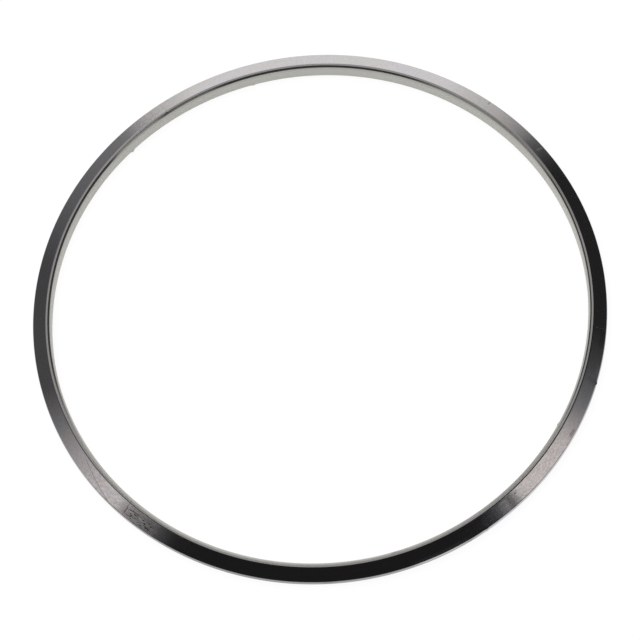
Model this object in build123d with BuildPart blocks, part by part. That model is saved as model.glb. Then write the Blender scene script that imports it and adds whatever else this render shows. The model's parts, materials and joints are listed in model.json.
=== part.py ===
from build123d import *
import os
from math import radians, tan

# Exhaust gasket: a jacketed ring that seals two conical flanges.
#
# Two folded steel jackets close round a ring of soft filler. The outer jacket has an upright
# rim, a sealing cone above and below it, and a narrow flat land that ends in a lip. The inner
# jacket lines the bore, rolls over at both ends and tucks its flanges under those lips.
#
# Millimetres, +Z up. The origin is the middle of the ring's lower face, so it lies on Z = 0.

# Sizes of the finished ring
bore_diameter = 280.4
overall_height = 10.0
rim_height = 3.2  # upright outer wall, between the two cones
cone_width = 6.8  # each sealing cone, measured along the radius
land_width = 1.2  # flat top and bottom, from the foot of the cone to the lip's edge

# Sheet and folds
outer_sheet = 0.4
inner_sheet = 0.4
rim_fold_flat = 0.3  # flat pressed on the fold between a cone and the rim, measured up the rim
bore_corner_radius = 1.7  # outside radius of the rolled corner at each end of the bore
lip_setback = 0.1  # flat of the inner flange left open between the rolled corner and the lip

# Room between the pieces
seat_gap = 0.02  # lip pressed down on the flange
flange_end_gap = 0.2  # from the end of the inner flange to the foot of the cone
filler_gap = 0.15  # sheet to filler, all round

# Radii, worked outwards from the bore
bore_radius = bore_diameter / 2
lip_radius = bore_radius + bore_corner_radius + lip_setback
cone_foot_radius = lip_radius + land_width
rim_radius = cone_foot_radius + cone_width
flange_end_radius = cone_foot_radius - flange_end_gap

# Heights, worked both ways from the middle of the ring
half_height = overall_height / 2
half_rim = rim_height / 2
flange_height = half_height - outer_sheet - seat_gap
filler_height = flange_height - inner_sheet - filler_gap

# A rolled corner is cut as flats that touch its round. One flat across the square corner takes
# first_cut of the radius off each side, and cutting the two corners that leaves takes second_cut
first_cut = tan(radians(45)) - tan(radians(22.5))
second_cut = tan(radians(22.5)) - tan(radians(11.25))
sheet_inner_radius = bore_corner_radius - inner_sheet
filler_radius = sheet_inner_radius - filler_gap

# Every section is drawn on this plane: x is the radius, y the height over the middle
section_plane = Plane(origin=(0, 0, half_height), x_dir=(1, 0, 0), z_dir=(0, -1, 0))


# Outer jacket: the outside surface from lip to lip, thickened inwards by the sheet
with BuildPart() as outer_jacket:
    with BuildSketch(section_plane):
        with BuildLine():
            Polyline(
                (lip_radius, -half_height),
                (cone_foot_radius, -half_height),
                (rim_radius, -half_rim),
                (rim_radius, half_rim),
                (cone_foot_radius, half_height),
                (lip_radius, half_height),
            )
            offset(amount=outer_sheet, side=Side.LEFT, kind=Kind.INTERSECTION)
        make_face()
        chamfer(vertices().group_by(Axis.X)[-1], length=rim_fold_flat)
    revolve(axis=Axis.Z)

# Inner jacket: the bore surface from flange end to flange end, thickened outwards
with BuildPart() as inner_jacket:
    with BuildSketch(section_plane):
        with BuildLine():
            Polyline(
                (flange_end_radius, -flange_height),
                (bore_radius, -flange_height),
                (bore_radius, flange_height),
                (flange_end_radius, flange_height),
            )
            offset(amount=inner_sheet, side=Side.RIGHT, kind=Kind.INTERSECTION)
        make_face()
        bore_side, sheet_inside = vertices().group_by(Axis.X)[:2]
        chamfer(sheet_inside, length=first_cut * sheet_inner_radius)
        chamfer(bore_side, length=first_cut * bore_corner_radius)
        rows = vertices().group_by(Axis.X)
        chamfer(rows[0] + rows[2], length=second_cut * bore_corner_radius)
    revolve(axis=Axis.Z)

# Filler: the room inside the outer jacket, less what the inner jacket takes of it
with BuildPart() as filler_core:
    with BuildSketch(section_plane):
        with BuildLine():
            Polyline(
                (bore_radius, -half_height),
                (cone_foot_radius, -half_height),
                (rim_radius, -half_rim),
                (rim_radius, half_rim),
                (cone_foot_radius, half_height),
                (bore_radius, half_height),
                close=True,
            )
        make_face()
        offset(amount=-(outer_sheet + filler_gap), kind=Kind.INTERSECTION)
        with Locations((bore_radius + inner_sheet + filler_gap, 0)):
            Rectangle(
                rim_radius - bore_radius,
                2 * filler_height,
                align=(Align.MIN, Align.CENTER),
                mode=Mode.INTERSECT,
            )
        chamfer(vertices().group_by(Axis.X)[0], length=first_cut * filler_radius)
    revolve(axis=Axis.Z)


pieces = {
    "outer_jacket": outer_jacket,
    "inner_jacket": inner_jacket,
    "filler_core": filler_core,
}
os.makedirs("parts", exist_ok=True)
for name, piece in pieces.items():
    piece.part.label = name
    export_step(piece.part, f"parts/{name}.step")
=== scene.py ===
"""Exhaust gasket: the finished look of the jacketed ring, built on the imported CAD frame.

Metres, +Z up. The ring's axis is the Z axis and its lower face lies on Z = 0.
"""

import json
from math import asin, atan2, cos, degrees, hypot, pi, radians, sin, tau

import bmesh
import bpy
from mathutils import Matrix, Vector


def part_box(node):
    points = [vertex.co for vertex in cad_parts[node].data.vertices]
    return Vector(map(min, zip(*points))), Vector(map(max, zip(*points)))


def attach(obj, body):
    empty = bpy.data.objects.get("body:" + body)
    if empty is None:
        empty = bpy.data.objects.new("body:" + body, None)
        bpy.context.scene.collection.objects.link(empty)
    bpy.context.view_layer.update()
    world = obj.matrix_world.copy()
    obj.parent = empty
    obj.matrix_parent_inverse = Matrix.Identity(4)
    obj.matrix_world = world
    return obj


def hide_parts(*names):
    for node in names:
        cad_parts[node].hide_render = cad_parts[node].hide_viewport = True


bl_info = {
    "name": "Exhaust Gasket",
    "version": (1, 0, 0),
    "blender": (4, 5, 0),
    "location": "3D View > Sidebar > Gasket",
    "description": "Builds the jacketed sealing ring and a plain studio round it",
    "category": "Object",
}

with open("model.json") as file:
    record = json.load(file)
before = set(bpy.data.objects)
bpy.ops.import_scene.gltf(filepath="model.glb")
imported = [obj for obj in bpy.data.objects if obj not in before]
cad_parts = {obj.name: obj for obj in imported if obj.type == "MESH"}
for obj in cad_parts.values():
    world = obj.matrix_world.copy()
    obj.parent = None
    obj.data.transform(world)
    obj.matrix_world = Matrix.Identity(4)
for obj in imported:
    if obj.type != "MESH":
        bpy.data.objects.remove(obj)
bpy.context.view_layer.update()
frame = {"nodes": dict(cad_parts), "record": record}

low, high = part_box("outer_jacket")
mounts = {mount["name"]: mount for mount in frame["record"]["mounts"]}
MM = 0.001
# The middle of the ring's section, where the filler is
SECTION_RADIUS = 146 * MM
# Length of one degree of the ring at that radius, in millimetres
MM_PER_DEGREE = 2.55
# How near a corner has to be to its place to count as found
NEAR = 0.01 * MM
# Highest point of the rim's wall and fold, under the upper cone
RIM_TOP = 6.7 * MM


class RingSizes(bpy.types.PropertyGroup):
    rim_radius: bpy.props.FloatProperty(
        name="Rim radius",
        description="From the axis to the upright outer wall",
        default=min(-low.x, -low.y, high.x, high.y),
        unit="LENGTH",
    )
    bore_radius: bpy.props.FloatProperty(
        name="Bore radius",
        description="From the axis to the inner wall",
        default=mounts["bore"]["dims"]["r_mm"] * MM,
        unit="LENGTH",
    )
    height: bpy.props.FloatProperty(
        name="Height",
        description="From the lower land to the upper land",
        default=high.z,
        unit="LENGTH",
    )
    rim_height: bpy.props.FloatProperty(
        name="Rim height",
        description="Height of the upright outer wall, between the two cones",
        default=3.2 * MM,
        unit="LENGTH",
    )
    cone_width: bpy.props.FloatProperty(
        name="Cone width",
        description="Width of each sealing cone along the radius",
        default=6.76 * MM,
        unit="LENGTH",
    )
    land_width: bpy.props.FloatProperty(
        name="Land width",
        description="Width of the flat strip between the cone and the cut edge of the lip",
        default=1.2 * MM,
        unit="LENGTH",
    )
    sheet: bpy.props.FloatProperty(
        name="Sheet",
        description="Thickness of the steel",
        default=0.4 * MM,
        unit="LENGTH",
    )
    lip_seat: bpy.props.FloatProperty(
        name="Lip seat",
        description="Room between the lip and the flange that it holds down",
        default=0.02 * MM,
        unit="LENGTH",
    )
    rim_fold: bpy.props.FloatProperty(
        name="Rim fold",
        description="How far each way from the corner the fold at the rim reaches",
        default=0.32 * MM,
        unit="LENGTH",
    )
    land_fold: bpy.props.FloatProperty(
        name="Land fold",
        description="How far each way from the corner the fold at the land reaches",
        default=0.6 * MM,
        unit="LENGTH",
    )
    bore_roll: bpy.props.FloatProperty(
        name="Bore roll",
        description="Radius of the rolled corner at each end of the bore",
        default=1.7 * MM,
        unit="LENGTH",
    )
    steps: bpy.props.IntProperty(
        name="Steps",
        description="Faces round the ring",
        default=720,
        min=180,
        max=1440,
    )


class SteelLooks(bpy.types.PropertyGroup):
    outer_colour: bpy.props.FloatVectorProperty(
        name="Outer steel",
        description="Colour of the outer jacket's bright sheet",
        default=(0.585, 0.567, 0.567),
        size=3,
        min=0.0,
        max=1.0,
        subtype="COLOR",
    )
    # The rim steel's lavender tint is the sheet's own; its darkness beside the face is painted
    # shade, standing in for the shaded floor close to the ring that the wall mirrors
    rim_colour: bpy.props.FloatVectorProperty(
        name="Rim steel",
        description="Colour of the outer wall, which forming has left a little duller",
        default=(0.305, 0.303, 0.317),
        size=3,
        min=0.0,
        max=1.0,
        subtype="COLOR",
    )
    inner_colour: bpy.props.FloatVectorProperty(
        name="Inner steel",
        description="Colour of the inner jacket's satin sheet",
        default=(0.385, 0.38, 0.355),
        size=3,
        min=0.0,
        max=1.0,
        subtype="COLOR",
    )
    filler_colour: bpy.props.FloatVectorProperty(
        name="Filler",
        description="Colour of the pressed mineral filler",
        default=(0.5, 0.46, 0.4),
        size=3,
        min=0.0,
        max=1.0,
        subtype="COLOR",
    )


class StudioSetup(bpy.types.PropertyGroup):
    camera_distance: bpy.props.FloatProperty(
        name="Camera distance",
        description="From the camera to the middle of the ring",
        default=3.0,
        unit="LENGTH",
    )
    camera_elevation: bpy.props.FloatProperty(
        name="Camera elevation",
        description="Height of the camera over the floor as an angle",
        default=radians(66.14),
        subtype="ANGLE",
    )
    camera_roll: bpy.props.FloatProperty(
        name="Camera roll",
        description="Turn of the picture about the line of sight",
        default=radians(9.39),
        subtype="ANGLE",
    )
    lens: bpy.props.FloatProperty(
        name="Lens",
        description="Focal length in millimetres on a sensor 36 mm wide",
        default=323.6,
    )
    overhead_power: bpy.props.FloatProperty(
        name="Overhead power",
        description="Power of the soft light over the ring, in watts",
        default=14.0,
    )


# Making a ring: a section drawn point by point, its corners rounded, then spun round the axis


def start_edit(piece, kind):
    """Opens one piece in edit mode with nothing selected."""
    bpy.ops.object.select_all(action="DESELECT")
    bpy.context.view_layer.objects.active = piece
    piece.select_set(True)
    bpy.ops.object.mode_set(mode="EDIT")
    bpy.ops.mesh.select_mode(type=kind)
    bpy.ops.mesh.select_all(action="DESELECT")


def select_verts(piece, wanted):
    """Selects the corners for which wanted(place) is true, and returns how many."""
    shape = bmesh.from_edit_mesh(piece.data)
    count = 0
    for vert in shape.verts:
        vert.select = bool(wanted(piece.matrix_world @ vert.co))
        count += vert.select
    shape.select_flush_mode()
    bmesh.update_edit_mesh(piece.data)
    return count


def select_faces(piece, wanted):
    """Selects the faces for which wanted(middle, normal) is true, and returns how many."""
    shape = bmesh.from_edit_mesh(piece.data)
    shape.normal_update()
    count = 0
    for face in shape.faces:
        middle = piece.matrix_world @ face.calc_center_median()
        face.select = bool(wanted(middle, face.normal))
        count += face.select
    shape.select_flush_mode()
    bmesh.update_edit_mesh(piece.data)
    return count


def section_points(corners, margin):
    """The corners with a point a little inside each end of every long run, to hold it straight."""
    points = [corners[0]]
    for start, end in zip(corners, corners[1:]):
        run = end - start
        if run.length > 2.5 * margin:
            points.append(start + run.normalized() * margin)
            points.append(end - run.normalized() * margin)
        points.append(end)
    return points


def draw_section(name, points):
    """Extrudes one point of a small plane through the section, in the X-Z plane."""
    bpy.ops.object.select_all(action="DESELECT")
    first = points[0]
    bpy.ops.mesh.primitive_plane_add(size=MM, location=(first.x, 0, first.y))
    piece = bpy.context.active_object
    piece.name = name
    piece.data.name = name
    start_edit(piece, "VERT")
    bpy.ops.mesh.select_all(action="SELECT")
    bpy.ops.mesh.merge(type="CENTER")
    for before, after in zip(points, points[1:]):
        move = after - before
        bpy.ops.mesh.extrude_vertices_move(TRANSFORM_OT_translate={"value": (move.x, 0, move.y)})
    bpy.ops.object.mode_set(mode="OBJECT")
    bpy.ops.object.transform_apply(location=True, rotation=True, scale=True)
    return piece


def round_corner(piece, corners, reach, segments):
    """Rounds the section's corners that lie at these places."""
    start_edit(piece, "VERT")
    found = select_verts(
        piece, lambda place: any(hypot(place.x - c.x, place.z - c.y) < NEAR for c in corners)
    )
    if found != len(corners):
        raise RuntimeError(f"{piece.name}: {found} corners found, {len(corners)} expected")
    bpy.ops.mesh.bevel(offset=reach, offset_type="OFFSET", segments=segments, affect="VERTICES")
    bpy.ops.object.mode_set(mode="OBJECT")


def faces_out_of_ring(middle, normal):
    """True if a face looks away from the middle of the ring's section."""
    across = Vector((middle.x, middle.y)).length - SECTION_RADIUS
    radial = Vector((middle.x, middle.y, 0)).normalized()
    away = radial * across + Vector((0, 0, middle.z - high.z / 2))
    return normal.dot(away) > 0


def spin_section(piece, steps):
    """Spins the section round the axis and turns its faces away from the middle of the section."""
    start_edit(piece, "VERT")
    bpy.ops.mesh.select_all(action="SELECT")
    bpy.ops.mesh.spin(steps=steps, angle=tau, center=(0, 0, 0), axis=(0, 0, 1))
    bpy.ops.mesh.select_all(action="SELECT")
    bpy.ops.mesh.remove_doubles(threshold=0.001 * MM)
    bpy.ops.mesh.normals_make_consistent(inside=False)
    bpy.ops.object.mode_set(mode="OBJECT")
    facing = sum(faces_out_of_ring(face.center, face.normal) for face in piece.data.polygons)
    if 2 * facing < len(piece.data.polygons):
        start_edit(piece, "FACE")
        bpy.ops.mesh.select_all(action="SELECT")
        bpy.ops.mesh.flip_normals()
        bpy.ops.object.mode_set(mode="OBJECT")


def thicken(piece, sheet):
    """Gives the surface the thickness of the sheet, behind its faces, and breaks its cut edges."""
    wall = piece.modifiers.new("Sheet", "SOLIDIFY")
    wall.thickness = sheet
    wall.offset = -1.0
    wall.use_even_offset = True
    bpy.ops.object.modifier_apply(modifier=wall.name)
    cut = piece.modifiers.new("Cut edge", "BEVEL")
    cut.width = 0.05 * MM
    cut.segments = 2
    cut.limit_method = "ANGLE"
    cut.angle_limit = radians(70)
    bpy.ops.object.modifier_apply(modifier=cut.name)
    start_edit(piece, "FACE")
    bpy.ops.mesh.select_all(action="SELECT")
    bpy.ops.mesh.normals_make_consistent(inside=False)
    bpy.ops.object.mode_set(mode="OBJECT")


def ring_angle(place):
    """Degrees round the ring from +X."""
    return degrees(atan2(place.y, place.x)) % 360


def press_crease(piece, angle, half_width, depth):
    """Presses a sharp radial crease into the upper cone and land of the outer jacket's surface."""
    for turn in (-half_width, 0.0, half_width):
        start_edit(piece, "FACE")
        found = select_faces(
            piece, lambda middle, normal: normal.z > 0.5 and abs(ring_angle(middle) - angle) < 1.2
        )
        if not found:
            raise RuntimeError(f"{piece.name}: no faces at {angle} degrees")
        cut = radians(angle + turn)
        bpy.ops.mesh.bisect(plane_co=(0, 0, 0), plane_no=(-sin(cut), cos(cut), 0))
        bpy.ops.object.mode_set(mode="OBJECT")
    start_edit(piece, "VERT")
    select_verts(piece, lambda place: place.z > RIM_TOP and abs(ring_angle(place) - angle) < 0.005)
    bpy.ops.transform.translate(value=(0, 0, -depth))
    bpy.ops.object.mode_set(mode="OBJECT")


def pull(piece, angle, radius, height, outward, up, reach):
    """Pulls the sheet out of shape round one point, as a knock or a burr has."""
    across = Vector((cos(radians(angle)), sin(radians(angle)), 0))
    target = across * radius + Vector((0, 0, height))
    nearest = min((piece.matrix_world @ vert.co - target).length for vert in piece.data.vertices)
    start_edit(piece, "VERT")
    limit = nearest + 0.001 * MM
    select_verts(piece, lambda place: (place - target).length < limit)
    bpy.ops.transform.translate(
        value=across * outward + Vector((0, 0, up)),
        use_proportional_edit=True,
        proportional_edit_falloff="SMOOTH",
        proportional_size=reach,
    )
    bpy.ops.object.mode_set(mode="OBJECT")


def finish_piece(piece, material, node):
    """Shades the piece, gives it its material and lets it stand for its CAD node."""
    bpy.ops.object.select_all(action="DESELECT")
    bpy.context.view_layer.objects.active = piece
    piece.select_set(True)
    bpy.ops.object.shade_smooth_by_angle(angle=radians(35))
    piece.data.materials.clear()
    piece.data.materials.append(material)
    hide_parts(node)
    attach(piece, "root")


# Materials


class Nodes:
    """A material's node tree, with short calls for the nodes it is made of."""

    def __init__(self, name):
        self.material = bpy.data.materials.new(name)
        self.material.use_nodes = True
        self.tree = self.material.node_tree
        self.tree.nodes.clear()

    def put(self, value, socket):
        if isinstance(value, bpy.types.NodeSocket):
            self.tree.links.new(value, socket)
        else:
            socket.default_value = value

    def math(self, operation, a, b=0.0, c=0.0, clamp=False):
        node = self.tree.nodes.new("ShaderNodeMath")
        node.operation = operation
        node.use_clamp = clamp
        for value, socket in zip((a, b, c), node.inputs):
            self.put(value, socket)
        return node.outputs[0]

    def step(self, value, start, end):
        """0 before start, 1 after end and a smooth change between them."""
        node = self.tree.nodes.new("ShaderNodeMapRange")
        node.interpolation_type = "SMOOTHSTEP"
        self.put(value, node.inputs["Value"])
        node.inputs["From Min"].default_value = start
        node.inputs["From Max"].default_value = end
        return node.outputs["Result"]

    def window(self, value, start, end, soft):
        """1 from start to end, fading out over soft at both sides."""
        rise = self.step(value, start - soft, start + soft)
        fall = self.step(value, end + soft, end - soft)
        return self.math("MULTIPLY", rise, fall)

    def noise(self, vector, scale, detail=2.0, roughness=0.5):
        node = self.tree.nodes.new("ShaderNodeTexNoise")
        self.put(vector, node.inputs["Vector"])
        node.inputs["Scale"].default_value = scale
        node.inputs["Detail"].default_value = detail
        node.inputs["Roughness"].default_value = roughness
        return node.outputs["Fac"]

    def vector(self, x, y, z):
        node = self.tree.nodes.new("ShaderNodeCombineXYZ")
        for value, socket in zip((x, y, z), node.inputs):
            self.put(value, socket)
        return node.outputs[0]

    def mix(self, factor, a, b):
        node = self.tree.nodes.new("ShaderNodeMix")
        node.data_type = "RGBA"
        node.clamp_factor = False
        self.put(factor, node.inputs[0])
        self.put(a, node.inputs[6])
        self.put(b, node.inputs[7])
        return node.outputs[2]

    def ring_place(self):
        """Degrees round the ring, radius and height in mm, and a map of the ring rolled out."""
        place = self.tree.nodes.new("ShaderNodeTexCoord").outputs["Object"]
        axes = self.tree.nodes.new("ShaderNodeSeparateXYZ")
        self.put(place, axes.inputs[0])
        x, y, z = axes.outputs
        angle = self.math("MULTIPLY", self.math("ARCTAN2", y, x), 180 / pi)
        angle = self.math("MODULO", self.math("ADD", angle, 360.0), 360.0)
        square = self.math("ADD", self.math("MULTIPLY", x, x), self.math("MULTIPLY", y, y))
        radius = self.math("MULTIPLY", self.math("SQRT", square), 1 / MM)
        height = self.math("MULTIPLY", z, 1 / MM)
        along = self.math("MULTIPLY", angle, MM_PER_DEGREE)
        return angle, radius, height, self.vector(along, radius, height)

    def stretch(self, vector, x, y, z):
        node = self.tree.nodes.new("ShaderNodeVectorMath")
        node.operation = "MULTIPLY"
        self.put(vector, node.inputs[0])
        node.inputs[1].default_value = (x, y, z)
        return node.outputs[0]

    def bump(self, height, strength, distance, normal=None):
        node = self.tree.nodes.new("ShaderNodeBump")
        node.inputs["Strength"].default_value = strength
        node.inputs["Distance"].default_value = distance
        self.put(height, node.inputs["Height"])
        if normal is not None:
            self.put(normal, node.inputs["Normal"])
        return node.outputs["Normal"]

    def product(self, first, *others):
        for other in others:
            first = self.math("MULTIPLY", first, other)
        return first

    def most(self, first, *others):
        for other in others:
            first = self.math("MAXIMUM", first, other)
        return first

    def scale(self, colour, factor):
        black = (0.0, 0.0, 0.0, 1.0)
        return self.mix(factor, black, colour)

    def steel(self, colour, metallic, roughness, normal):
        shader = self.tree.nodes.new("ShaderNodeBsdfPrincipled")
        shader.inputs["Metallic"].default_value = metallic
        self.put(colour, shader.inputs["Base Color"])
        self.put(roughness, shader.inputs["Roughness"])
        self.put(normal, shader.inputs["Normal"])
        output = self.tree.nodes.new("ShaderNodeOutputMaterial")
        self.put(shader.outputs[0], output.inputs["Surface"])
        return self.material


def with_alpha(colour):
    return (colour[0], colour[1], colour[2], 1.0)


def outer_steel(looks, sizes):
    nodes = Nodes("outer_steel")
    angle, radius, height, flat = nodes.ring_place()
    upper = nodes.step(height, 4.6, 5.4)
    rim = sizes.rim_radius / MM
    shoulder = (sizes.height + sizes.rim_height) / 2 / MM
    foot = (sizes.rim_radius - sizes.cone_width) / MM
    lip_edge = foot - sizes.land_width / MM

    # Rolled sheet: fine lines along the strip, a grain, and broad soft changes of polish
    lines = nodes.noise(nodes.stretch(flat, 0.05, 6.0, 6.0), 1.0, 3.0, 0.6)
    polish = nodes.noise(nodes.stretch(flat, 0.06, 0.25, 0.25), 1.0, 2.0)
    grain = nodes.noise(nodes.stretch(flat, 0.7, 1.2, 1.2), 1.0, 4.0, 0.7)
    streaks = nodes.noise(nodes.stretch(flat, 0.22, 1.2, 1.2), 1.0, 4.0, 0.6)
    streaks = nodes.step(streaks, 0.38, 0.62)

    def mark(start, end, inner, outer, soft=0.12):
        """A mark on the upper face, between two angles and two radii."""
        across = nodes.window(angle, start, end, soft)
        along = nodes.window(radius, inner, outer, 0.35)
        return nodes.product(across, along, upper)

    # Weld of the strip, with a dark pit and a painted glint at the lip (a bright dot put into the
    # colour), and the finish beside it
    weld = nodes.most(
        mark(115.85, 115.95, 144.0, 150.2, 0.08),
        mark(116.3, 116.4, 143.0, 148.5, 0.08),
    )
    pit = mark(115.95, 116.25, 141.9, 142.5, 0.1)
    weld_painted_glint = mark(115.45, 115.75, lip_edge, lip_edge + 0.5, 0.1)
    heat = nodes.product(mark(99.0, 115.5, 146.8, 150.2, 1.5), streaks)
    # Scratches across the face and one that curves out to the rim
    dark_scratch = mark(43.9, 44.25, 147.6, 150.0, 0.12)
    scratches = nodes.most(
        nodes.product(mark(29.1, 29.5, 145.4, 149.4, 0.2), 0.35),
        nodes.product(mark(60.95, 61.05, 144.5, 149.0, 0.07), 0.4),
        nodes.product(mark(68.15, 68.25, 145.0, 149.5, 0.07), 0.4),
        nodes.product(mark(346.1, 346.2, 145.5, 149.5, 0.07), 0.5),
        mark(346.0, 346.35, 145.0, 145.3, 0.12),
    )
    drift = nodes.math("SUBTRACT", radius, nodes.math("MULTIPLY_ADD", angle, 0.53, 36.0))
    curved = nodes.window(drift, -0.1, 0.1, 0.16)
    curved = nodes.product(curved, nodes.window(angle, 204.8, 215.0, 1.2), upper)
    tick = mark(218.7, 218.9, 145.2, 148.8, 0.12)
    # Rubbed places, where the finish is broken
    left_rub = nodes.product(mark(219.6, 226.0, 143.4, 149.8, 2.2), streaks)
    nicks = nodes.noise(nodes.stretch(flat, 0.4, 1.5, 1.5), 1.0, 2.0, 0.5)
    nicks = nodes.product(nodes.step(nicks, 0.53, 0.6), mark(219.2, 225.5, 144.8, 149.0, 0.8))
    softened = nodes.math("MULTIPLY_ADD", streaks, 0.6, 0.4)
    right_rub = nodes.product(mark(301.0, 306.5, 144.2, 149.6, 1.6), softened)
    dot = mark(305.15, 305.6, 145.0, 145.5, 0.2)
    # Stains left by handling, then lighter patches and a strip along the near edge that are
    # painted light: brighter reflections put into the colour
    stains = nodes.most(
        nodes.product(mark(303.0, 304.4, 143.6, 150.0, 0.5), 0.36),
        nodes.product(mark(321.8, 323.7, 148.1, 149.3, 0.5), 0.36),
        nodes.product(mark(342.2, 346.0, 146.9, 149.4, 0.9), 0.24),
        nodes.product(mark(262.0, 264.4, 149.3, 150.2, 0.6), 0.4),
    )
    # Painted light: the lighter patches, and the strip along the near edge
    clear = nodes.most(
        mark(305.4, 306.9, 143.8, 149.6, 0.5),
        mark(221.4, 224.2, 145.9, 146.8, 0.5),
        mark(222.5, 223.8, 147.3, 148.0, 0.4),
        nodes.product(mark(336.4, 338.1, 148.0, 150.0, 0.5), 0.6),
        nodes.product(mark(281.0, 292.0, 148.5, 150.2, 2.0), 2.0),
    )
    # A ring that the press has rubbed, and dirt on the outer wall
    arc = mark(262.0, 280.0, 145.85, 145.95, 3.0)
    wall_dirt = nodes.window(angle, 290.4, 293.3, 0.5)
    wall_dirt = nodes.product(wall_dirt, nodes.step(radius, 149.3, 149.8), streaks)

    # The outer wall, the fold over it, and the cut edge of the lip; the dark line along the fold
    # and the darkened cut edge are painted shade
    wall = nodes.step(radius, rim - 0.2, rim - 0.03)
    # Painted shade: a dark line along the fold, standing in for the shaded floor close to the ring
    # that the fold mirrors
    fold = nodes.window(height, shoulder - 0.4, shoulder + 0.12, 0.12)
    # Painted shade on the lip's cut edge, which faces into the shadowed crevice under the lip
    lip = nodes.step(radius, lip_edge + 0.02, lip_edge - 0.02)
    # Painted highlight: the outer wall made brighter between 295 and 327 degrees
    wall_painted_highlight = nodes.product(nodes.window(angle, 295.0, 327.0, 7.0), 0.75)
    # The outer wall made darker between 226 and 252 degrees
    wall_darker_226_252 = nodes.product(wall, nodes.window(angle, 226.0, 252.0, 8.0))
    # Painted shade: the land made darker between 12 and 44 degrees, a dimmer reflection put into
    # the colour
    land_painted_shade = nodes.window(angle, 12.0, 44.0, 9.0)
    land_painted_shade = nodes.product(nodes.step(radius, foot + 0.3, foot), land_painted_shade)
    # Real marks darken the colour here, and so does the painted shade of the fold, the lip's cut
    # edge and the land
    dark = nodes.most(
        nodes.product(pit, 0.7),
        nodes.product(dark_scratch, 0.35),
        nodes.product(curved, 0.6),
        nodes.product(tick, 0.8),
        nodes.product(dot, 0.6),
        nodes.product(wall_dirt, 0.55),
        nodes.product(left_rub, 0.2),
        nodes.product(nicks, 0.8),
        stains,
        nodes.product(fold, 0.35),
        nodes.product(wall_darker_226_252, 0.2),
        nodes.product(land_painted_shade, 0.24),
        nodes.product(lip, 0.8),
    )
    shade = nodes.math("MULTIPLY_ADD", nodes.math("SUBTRACT", grain, 0.5), 0.5, 1.0)
    shade = nodes.math("MULTIPLY_ADD", nodes.math("SUBTRACT", lines, 0.5), 0.18, shade)
    mottled = nodes.most(
        nodes.window(angle, 117.5, 123.5, 1.5),
        nodes.window(angle, 207.0, 228.0, 4.0),
        nodes.window(angle, 298.0, 322.0, 4.0),
    )
    mottle = nodes.product(nodes.math("SUBTRACT", grain, 0.5), mottled, 1.0)
    shade = nodes.math("ADD", shade, mottle)
    shade = nodes.math("MULTIPLY_ADD", weld, 0.16, shade)
    # Painted glint: the bright dot at the weld by the lip
    shade = nodes.math("MULTIPLY_ADD", weld_painted_glint, 0.6, shade)
    # Painted light raises the colour in those patches and along the near edge
    shade = nodes.math("MULTIPLY_ADD", clear, 0.35, shade)
    shade = nodes.math("MULTIPLY_ADD", nodes.product(wall, wall_painted_highlight), 1.0, shade)
    shade = nodes.product(shade, nodes.math("SUBTRACT", 1.0, dark))
    # Faint warm and cool patches, as thin films on stainless sheet give
    base = looks.outer_colour
    warm = (base[0] * 1.01, base[1] * 0.99, base[2] * 0.985, 1.0)
    cool = (base[0] * 0.985, base[1] * 0.99, base[2] * 1.02, 1.0)
    film = nodes.noise(nodes.stretch(flat, 0.06, 0.4, 0.4), 1.0, 3.0, 0.6)
    film = nodes.step(nodes.math("SUBTRACT", film, nodes.product(wall_painted_highlight, 0.3)), 0.35, 0.65)
    blue_film = nodes.most(
        nodes.window(angle, 292.0, 305.0, 3.0),
        nodes.window(angle, 326.0, 342.0, 5.0),
    )
    face_colour = nodes.mix(nodes.most(film, left_rub, blue_film), warm, cool)
    # The outer wall takes the darker rim colour: its own tint, with painted shade
    colour = nodes.mix(wall, face_colour, with_alpha(looks.rim_colour))

    roughness = nodes.math("MULTIPLY_ADD", polish, 0.05, 0.075)
    roughness = nodes.math("MULTIPLY_ADD", lines, 0.04, roughness)
    roughness = nodes.math("MULTIPLY_ADD", wall, 0.14, roughness)
    scuff = nodes.most(
        nodes.product(weld, 0.3),
        nodes.product(scratches, 0.35),
        nodes.product(curved, 0.2),
        nodes.product(left_rub, 0.3),
        nodes.product(right_rub, 0.18),
        nodes.product(arc, 0.2),
        nodes.product(heat, 0.1),
    )
    roughness = nodes.math("ADD", roughness, scuff, clamp=True)
    normal = nodes.bump(lines, 0.25, 2e-6)
    normal = nodes.bump(grain, 0.25, 3e-6, normal)
    deep = nodes.most(
        dark_scratch,
        nodes.product(curved, 0.6),
        nodes.product(scratches, 0.5),
        left_rub,
    )
    normal = nodes.bump(nodes.math("SUBTRACT", 1.0, deep), 0.5, 1e-5, normal)
    return nodes.steel(nodes.scale(colour, shade), 1.0, roughness, normal)


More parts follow.
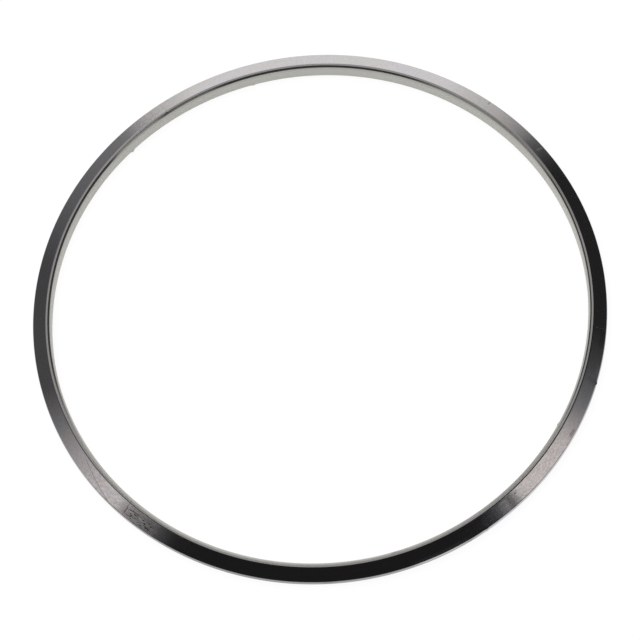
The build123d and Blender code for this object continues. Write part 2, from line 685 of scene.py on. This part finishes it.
def inner_steel(looks, sizes):
    """Satin sheet: its dull film scatters much of the light, so it stays pale from every side."""
    nodes = Nodes("inner_steel")
    angle, radius, height, flat = nodes.ring_place()
    lines = nodes.noise(nodes.stretch(flat, 0.05, 6.0, 6.0), 1.0, 3.0, 0.6)
    grain = nodes.noise(flat, 2.0, 3.0, 0.6)
    streaks = nodes.noise(nodes.stretch(flat, 0.2, 1.0, 1.0), 1.0, 3.0, 0.6)
    streaks = nodes.step(streaks, 0.36, 0.66)
    # Painted shade in the corner under the lip: a dark band standing in for the shadow in that
    # crevice, less of it on the near side; and dirt near the bore's edge
    bore = sizes.bore_radius / MM
    top = sizes.height / MM
    east = nodes.math("COSINE", nodes.math("MULTIPLY", angle, pi / 180))
    inset = nodes.math("MULTIPLY_ADD", nodes.math("MAXIMUM", east, 0.0), -0.24, radius)
    corner = nodes.step(inset, bore + 0.65, bore + 1.0)
    corner = nodes.product(corner, nodes.step(height, top - 1.0, top - 0.8))
    near_side = nodes.window(angle, 195.0, 325.0, 15.0)
    # Where the painted shade in the corner is weaker: most on the near side, a little at a few
    # other angles
    weaker_painted_shade = nodes.most(
        nodes.product(near_side, 0.85),
        nodes.product(nodes.window(angle, 26.0, 57.0, 6.0), 0.5),
        nodes.product(nodes.window(angle, 117.5, 131.0, 2.5), 0.5),
        nodes.product(nodes.window(angle, 104.0, 116.0, 3.0), 0.22),
    )
    crevice_painted_shade = nodes.product(corner, 0.93, nodes.math("SUBTRACT", 1.0, weaker_painted_shade))
    dirt = nodes.window(angle, 276.6, 280.6, 0.8)
    dirt = nodes.product(dirt, nodes.step(height, 5.0, 7.5), streaks)
    # Painted shade on the near right, and painted light on the left and right sides and the near
    # left, as the light falls on the band
    dull = nodes.window(angle, 285.0, 322.0, 14.0)
    # Darkening from the painted shade in the corner and on the near right, and from dirt
    dark = nodes.most(crevice_painted_shade, nodes.product(dirt, 0.45), nodes.product(dull, 0.28))
    sides = nodes.step(nodes.math("ABSOLUTE", east), 0.8, 1.0)
    painted_light_sides = nodes.most(sides, nodes.window(angle, 212.0, 250.0, 12.0))
    shade = nodes.math("MULTIPLY_ADD", nodes.math("SUBTRACT", grain, 0.5), 0.12, 1.0)
    shade = nodes.math("MULTIPLY_ADD", painted_light_sides, 0.1, shade)
    shade = nodes.product(shade, nodes.math("SUBTRACT", 1.0, dark))
    colour = nodes.scale(with_alpha(looks.inner_colour), shade)
    roughness = nodes.math("MULTIPLY_ADD", lines, 0.1, 0.46)
    normal = nodes.bump(lines, 0.25, 2e-6)
    return nodes.steel(colour, 0.3, roughness, normal)


def filler_stone(looks):
    nodes = Nodes("filler")
    place = nodes.tree.nodes.new("ShaderNodeTexCoord").outputs["Object"]
    grain = nodes.noise(place, 1500.0, 4.0, 0.65)
    fleck = nodes.noise(place, 400.0, 2.0)
    base = with_alpha(looks.filler_colour)
    dark = (base[0] * 0.7, base[1] * 0.68, base[2] * 0.65, 1.0)
    colour = nodes.mix(nodes.step(fleck, 0.35, 0.65), dark, base)
    shader = nodes.tree.nodes.new("ShaderNodeBsdfPrincipled")
    nodes.put(colour, shader.inputs["Base Color"])
    nodes.put(nodes.math("MULTIPLY_ADD", grain, 0.2, 0.75), shader.inputs["Roughness"])
    nodes.put(nodes.bump(grain, 0.5, 5e-5), shader.inputs["Normal"])
    output = nodes.tree.nodes.new("ShaderNodeOutputMaterial")
    nodes.put(shader.outputs[0], output.inputs["Surface"])
    return nodes.material


# The pieces


class GASKET_OT_outer_jacket(bpy.types.Operator):
    """Fold the outer jacket: rim, two cones, two lands and their lips"""

    bl_idname = "gasket.outer_jacket"
    bl_label = "Outer Jacket"

    def execute(self, context):
        sizes = context.scene.gasket_sizes
        foot = sizes.rim_radius - sizes.cone_width
        lip = foot - sizes.land_width
        middle = sizes.height / 2
        half_rim = sizes.rim_height / 2
        lands = [Vector((foot, sizes.height)), Vector((foot, 0))]
        rims = [
            Vector((sizes.rim_radius, middle + half_rim)),
            Vector((sizes.rim_radius, middle - half_rim)),
        ]
        corners = [
            Vector((lip, sizes.height)),
            lands[0],
            rims[0],
            rims[1],
            lands[1],
            Vector((lip, 0)),
        ]
        # Points this far from each corner keep the cones and the wall straight beside the folds
        hold = 0.45 * MM
        points = section_points(corners, hold)
        piece = draw_section("outer_jacket_steel", points)
        round_corner(piece, rims, sizes.rim_fold, 6)
        round_corner(piece, lands, sizes.land_fold, 4)
        spin_section(piece, sizes.steps)
        # The strip's weld and a press mark in the upper face, then a flake and a burr on the rim
        press_crease(piece, 116.2, 0.2, 0.02 * MM)
        press_crease(piece, 218.8, 0.15, 0.02 * MM)
        pull(piece, 334.6, sizes.rim_radius, middle + half_rim, 0.6 * MM, -0.1 * MM, 0.42 * MM)
        pull(piece, 296.4, sizes.rim_radius, middle, 0.25 * MM, 0, 0.9 * MM)
        thicken(piece, sizes.sheet)
        material = outer_steel(context.scene.gasket_looks, sizes)
        finish_piece(piece, material, "outer_jacket")
        return {"FINISHED"}


class GASKET_OT_inner_jacket(bpy.types.Operator):
    """Roll the inner jacket: bore wall, rolled corners and the flanges under the lips"""

    bl_idname = "gasket.inner_jacket"
    bl_label = "Inner Jacket"

    def execute(self, context):
        sizes = context.scene.gasket_sizes
        end_gap = 0.2 * MM
        flange_end = sizes.rim_radius - sizes.cone_width - end_gap
        step = sizes.sheet + sizes.lip_seat
        top = sizes.height - step
        rolls = [Vector((sizes.bore_radius, top)), Vector((sizes.bore_radius, step))]
        corners = [Vector((flange_end, top)), rolls[0], rolls[1], Vector((flange_end, step))]
        hold = 1.9 * MM
        points = [
            corners[0],
            rolls[0] + Vector((hold, 0)),
            rolls[0],
            rolls[0] - Vector((0, hold)),
            rolls[1] + Vector((0, hold)),
            rolls[1],
            rolls[1] + Vector((hold, 0)),
            corners[3],
        ]
        piece = draw_section("inner_jacket_steel", points)
        round_corner(piece, rolls, sizes.bore_roll, 12)
        spin_section(piece, sizes.steps)
        # Burrs in the bore
        pull(piece, 126.5, sizes.bore_radius, 1.6 * MM, -0.7 * MM, -0.1 * MM, 1.7 * MM)
        pull(piece, 96.0, sizes.bore_radius, 1.6 * MM, -0.4 * MM, 0, 1.4 * MM)
        pull(piece, 323.1, sizes.bore_radius, 8.4 * MM, -0.4 * MM, 0, 1.5 * MM)
        thicken(piece, sizes.sheet)
        material = inner_steel(context.scene.gasket_looks, sizes)
        finish_piece(piece, material, "inner_jacket")
        return {"FINISHED"}


class GASKET_OT_filler(bpy.types.Operator):
    """Give the sealed-in filler its pressed mineral look"""

    bl_idname = "gasket.filler"
    bl_label = "Filler"

    def execute(self, context):
        piece = frame["nodes"]["filler_core"]
        piece.data.materials.clear()
        piece.data.materials.append(filler_stone(context.scene.gasket_looks))
        return {"FINISHED"}


# The studio


def cloth_material(cloth):
    """Glows evenly, or more from one side of the cloth to the other.

    Dark cloth is a little bluish, bright cloth in front a little warm, and behind less so.
    """
    nodes = Nodes(cloth.name)
    place = nodes.tree.nodes.new("ShaderNodeTexCoord").outputs["Object"]
    axes = nodes.tree.nodes.new("ShaderNodeSeparateXYZ")
    nodes.put(place, axes.inputs[0])
    x, y = axes.outputs[:2]
    azimuth = nodes.math("MULTIPLY", nodes.math("ARCTAN2", x, y), 180 / pi)
    blend = nodes.tree.nodes.new("ShaderNodeMapRange")
    nodes.put(azimuth, blend.inputs["Value"])
    blend.inputs["From Min"].default_value, blend.inputs["From Max"].default_value = cloth.azimuths
    blend.inputs["To Min"].default_value, blend.inputs["To Max"].default_value = cloth.strengths
    light = nodes.tree.nodes.new("ShaderNodeEmission")
    tint = (0.97, 0.99, 1.015, 1.0)
    if max(cloth.strengths) > 0.35:
        behind = abs(cloth.azimuths[0]) < 60
        tint = (1.0, 0.995, 0.97, 1.0) if behind else (1.0, 0.96, 0.95, 1.0)
    light.inputs["Color"].default_value = tint
    nodes.put(blend.outputs["Result"], light.inputs["Strength"])
    output = nodes.tree.nodes.new("ShaderNodeOutputMaterial")
    nodes.put(light.outputs[0], output.inputs["Surface"])
    return nodes.material


def floor_material():
    """Pale floor that shows white, with a little of its own shading left for the shadow."""
    nodes = Nodes("pale_floor")
    cloth = nodes.tree.nodes.new("ShaderNodeBsdfDiffuse")
    cloth.inputs["Color"].default_value = (0.9, 0.9, 0.9, 1)
    white = nodes.tree.nodes.new("ShaderNodeEmission")
    white.inputs["Color"].default_value = (1, 1, 1, 1)
    white.inputs["Strength"].default_value = 1.0
    rays = nodes.tree.nodes.new("ShaderNodeLightPath")
    seen = nodes.math("MAXIMUM", rays.outputs["Is Camera Ray"], rays.outputs["Is Glossy Ray"])
    seen = nodes.math("MAXIMUM", seen, rays.outputs["Is Transmission Ray"])
    mixed = nodes.tree.nodes.new("ShaderNodeMixShader")
    nodes.put(nodes.math("MULTIPLY", seen, 0.9), mixed.inputs[0])
    nodes.put(cloth.outputs[0], mixed.inputs[1])
    nodes.put(white.outputs[0], mixed.inputs[2])
    output = nodes.tree.nodes.new("ShaderNodeOutputMaterial")
    nodes.put(mixed.outputs[0], output.inputs["Surface"])
    return nodes.material


class Cloth:
    """A cloth of the tent: its azimuths and elevations, and its light at either side."""

    def __init__(self, name, azimuths, elevations, strengths):
        self.name = name
        self.azimuths = azimuths
        self.elevations = elevations
        self.strengths = strengths

    def covers(self, azimuth, elevation):
        inside = self.azimuths[0] < azimuth <= self.azimuths[1]
        return inside and self.elevations[0] < elevation <= self.elevations[1]


# Azimuth 0 is behind the ring, as the camera sees it, and 90 is to the right. The first cloth that
# covers a direction hangs there. An opening hasn't any, and shows the white room
OPEN = (1.0, 1.0)
TENT = (
    Cloth("cloth_overhead", (-52, 40), (58, 91), (0.43, 0.43)),
    Cloth("cloth_overhead_back", (-16, 32), (42, 58), (0.43, 0.43)),
    Cloth("opening_back", (-12, 24), (0, 58), OPEN),
    Cloth("cloth_back_right_light", (24, 32), (0, 58), (0.9, 0.65)),
    Cloth("cloth_back_right_fading", (32, 39), (0, 58), (0.62, 0.16)),
    Cloth("cloth_back_right_edge", (39, 43), (0, 58), (0.12, 0.03)),
    Cloth("cloth_right_dark", (43, 76), (0, 58), (0.024, 0.024)),
    Cloth("cloth_right_grey", (76, 86), (0, 60), (0.02, 0.08)),
    Cloth("cloth_right_rising", (86, 96), (0, 60), (0.08, 0.25)),
    Cloth("cloth_right_light", (96, 103), (0, 60), (0.26, 0.64)),
    Cloth("cloth_right_bright", (103, 123), (30, 60), (0.74, 0.9)),
    Cloth("cloth_right_edge", (123, 127), (30, 62), (0.26, 0.1)),
    Cloth("cloth_right_last", (127, 134), (30, 62), (0.12, 0.06)),
    Cloth("cloth_back_left_light", (-19, -12), (0, 58), (0.62, 0.94)),
    Cloth("cloth_back_left_edge", (-22, -19), (0, 58), (0.34, 0.6)),
    Cloth("cloth_back_left_grey", (-46, -22), (0, 58), (0.085, 0.26)),
    Cloth("cloth_left_dark", (-70, -46), (0, 58), (0.092, 0.086)),
    Cloth("cloth_left_grey", (-80, -70), (0, 58), (0.26, 0.08)),
    Cloth("cloth_left_rising", (-92, -80), (0, 58), (0.67, 0.31)),
    Cloth("cloth_left_bright", (-102, -92), (0, 58), (0.88, 0.72)),
    Cloth("cloth_left_edge", (-110, -102), (0, 58), (0.26, 0.36)),
    Cloth("cloth_left_last", (-118, -110), (0, 60), (0.03, 0.14)),
    Cloth("cloth_front", (-181, 181), (-1, 91), (0.017, 0.017)),
)


class GASKET_OT_studio(bpy.types.Operator):
    """Set up the floor, the cloth tent that the steel mirrors, the soft light and the camera"""

    bl_idname = "gasket.studio"
    bl_label = "Studio"

    def execute(self, context):
        setup = context.scene.gasket_studio

        bpy.ops.object.select_all(action="DESELECT")
        below = 0.02 * MM
        bpy.ops.mesh.primitive_plane_add(size=8, location=(0, 0, -below))
        floor = context.active_object
        floor.name = "floor"
        floor.data.materials.append(floor_material())

        bpy.ops.object.select_all(action="DESELECT")
        bpy.ops.mesh.primitive_uv_sphere_add(segments=180, ring_count=90, radius=2.5)
        tent = context.active_object
        tent.name = "tent"
        for cloth in TENT:
            tent.data.materials.append(cloth_material(cloth))
        start_edit(tent, "FACE")
        shape = bmesh.from_edit_mesh(tent.data)
        for face in shape.faces:
            where = face.calc_center_median().normalized()
            azimuth = degrees(atan2(where.x, where.y))
            elevation = degrees(asin(where.z))
            covering = [cloth.covers(azimuth, elevation) for cloth in TENT]
            face.material_index = covering.index(True) if True in covering else 0
            face.select = elevation < 0 or TENT[face.material_index].strengths is OPEN
        shape.select_flush_mode()
        bmesh.update_edit_mesh(tent.data)
        bpy.ops.mesh.delete(type="FACE")
        bpy.ops.object.mode_set(mode="OBJECT")
        tent.visible_camera = False
        tent.visible_diffuse = False
        tent.visible_shadow = False
        tent.visible_transmission = False

        bpy.ops.object.light_add(type="AREA", location=(-0.3, 0.2, 1.6))
        lamp = context.active_object
        lamp.name = "overhead_light"
        lamp.data.shape = "DISK"
        lamp.data.size = 1.6
        lamp.data.energy = setup.overhead_power
        lamp.rotation_euler = (-lamp.location).to_track_quat("-Z", "Y").to_euler()
        lamp.visible_glossy = False

        world = bpy.data.worlds.new("studio_world")
        world.use_nodes = True
        background = world.node_tree.nodes["Background"]
        background.inputs["Color"].default_value = (1, 1, 1, 1)
        background.inputs["Strength"].default_value = 1.0
        context.scene.world = world

        centre = Vector((0, 0, high.z / 2))
        away = Vector((0, -cos(setup.camera_elevation), sin(setup.camera_elevation)))
        right = Vector((1, 0, 0))
        up = away.cross(right)
        turned_right = right * cos(setup.camera_roll) - up * sin(setup.camera_roll)
        turned_up = right * sin(setup.camera_roll) + up * cos(setup.camera_roll)
        # The camera aims this many pixels to the right of the ring's middle, and below it
        aim_right = 0.63
        aim_below = 5.48
        pixel = 36 / 640 / setup.lens * setup.camera_distance
        aim = centre + (turned_right * aim_right - turned_up * aim_below) * pixel
        place = centre + away * setup.camera_distance
        sight = (place - aim).normalized()
        side = turned_up.cross(sight).normalized()
        top = sight.cross(side)
        bpy.ops.object.camera_add(location=place)
        camera = context.active_object
        camera.name = "camera"
        camera.matrix_world = Matrix.Translation(place) @ Matrix(
            (
                (side.x, top.x, sight.x),
                (side.y, top.y, sight.y),
                (side.z, top.z, sight.z),
            )
        ).to_4x4()
        camera.data.lens = setup.lens
        camera.data.sensor_width = 36
        camera.data.clip_end = 20
        context.scene.camera = camera
        context.scene.view_settings.view_transform = "Standard"
        return {"FINISHED"}


class GASKET_PT_panel(bpy.types.Panel):
    """Lists the steps that build the gasket"""

    bl_label = "Exhaust Gasket"
    bl_idname = "GASKET_PT_panel"
    bl_space_type = "VIEW_3D"
    bl_region_type = "UI"
    bl_category = "Gasket"

    def draw(self, context):
        for step in OPERATORS:
            self.layout.operator(step.bl_idname)
        for group in ("gasket_sizes", "gasket_looks", "gasket_studio"):
            box = self.layout.box()
            values = getattr(context.scene, group)
            for name in values.bl_rna.properties.keys():
                if name not in ("rna_type", "name"):
                    box.prop(values, name)


OPERATORS = (
    GASKET_OT_outer_jacket,
    GASKET_OT_inner_jacket,
    GASKET_OT_filler,
    GASKET_OT_studio,
)
CLASSES = (RingSizes, SteelLooks, StudioSetup, *OPERATORS, GASKET_PT_panel)


def register():
    for cls in CLASSES:
        bpy.utils.register_class(cls)
    bpy.types.Scene.gasket_sizes = bpy.props.PointerProperty(type=RingSizes)
    bpy.types.Scene.gasket_looks = bpy.props.PointerProperty(type=SteelLooks)
    bpy.types.Scene.gasket_studio = bpy.props.PointerProperty(type=StudioSetup)


def unregister():
    del bpy.types.Scene.gasket_studio
    del bpy.types.Scene.gasket_looks
    del bpy.types.Scene.gasket_sizes
    for cls in reversed(CLASSES):
        bpy.utils.unregister_class(cls)


def main():
    register()
    bpy.ops.gasket.outer_jacket()
    bpy.ops.gasket.inner_jacket()
    bpy.ops.gasket.filler()
    bpy.ops.gasket.studio()


if __name__ == "__main__":
    main()
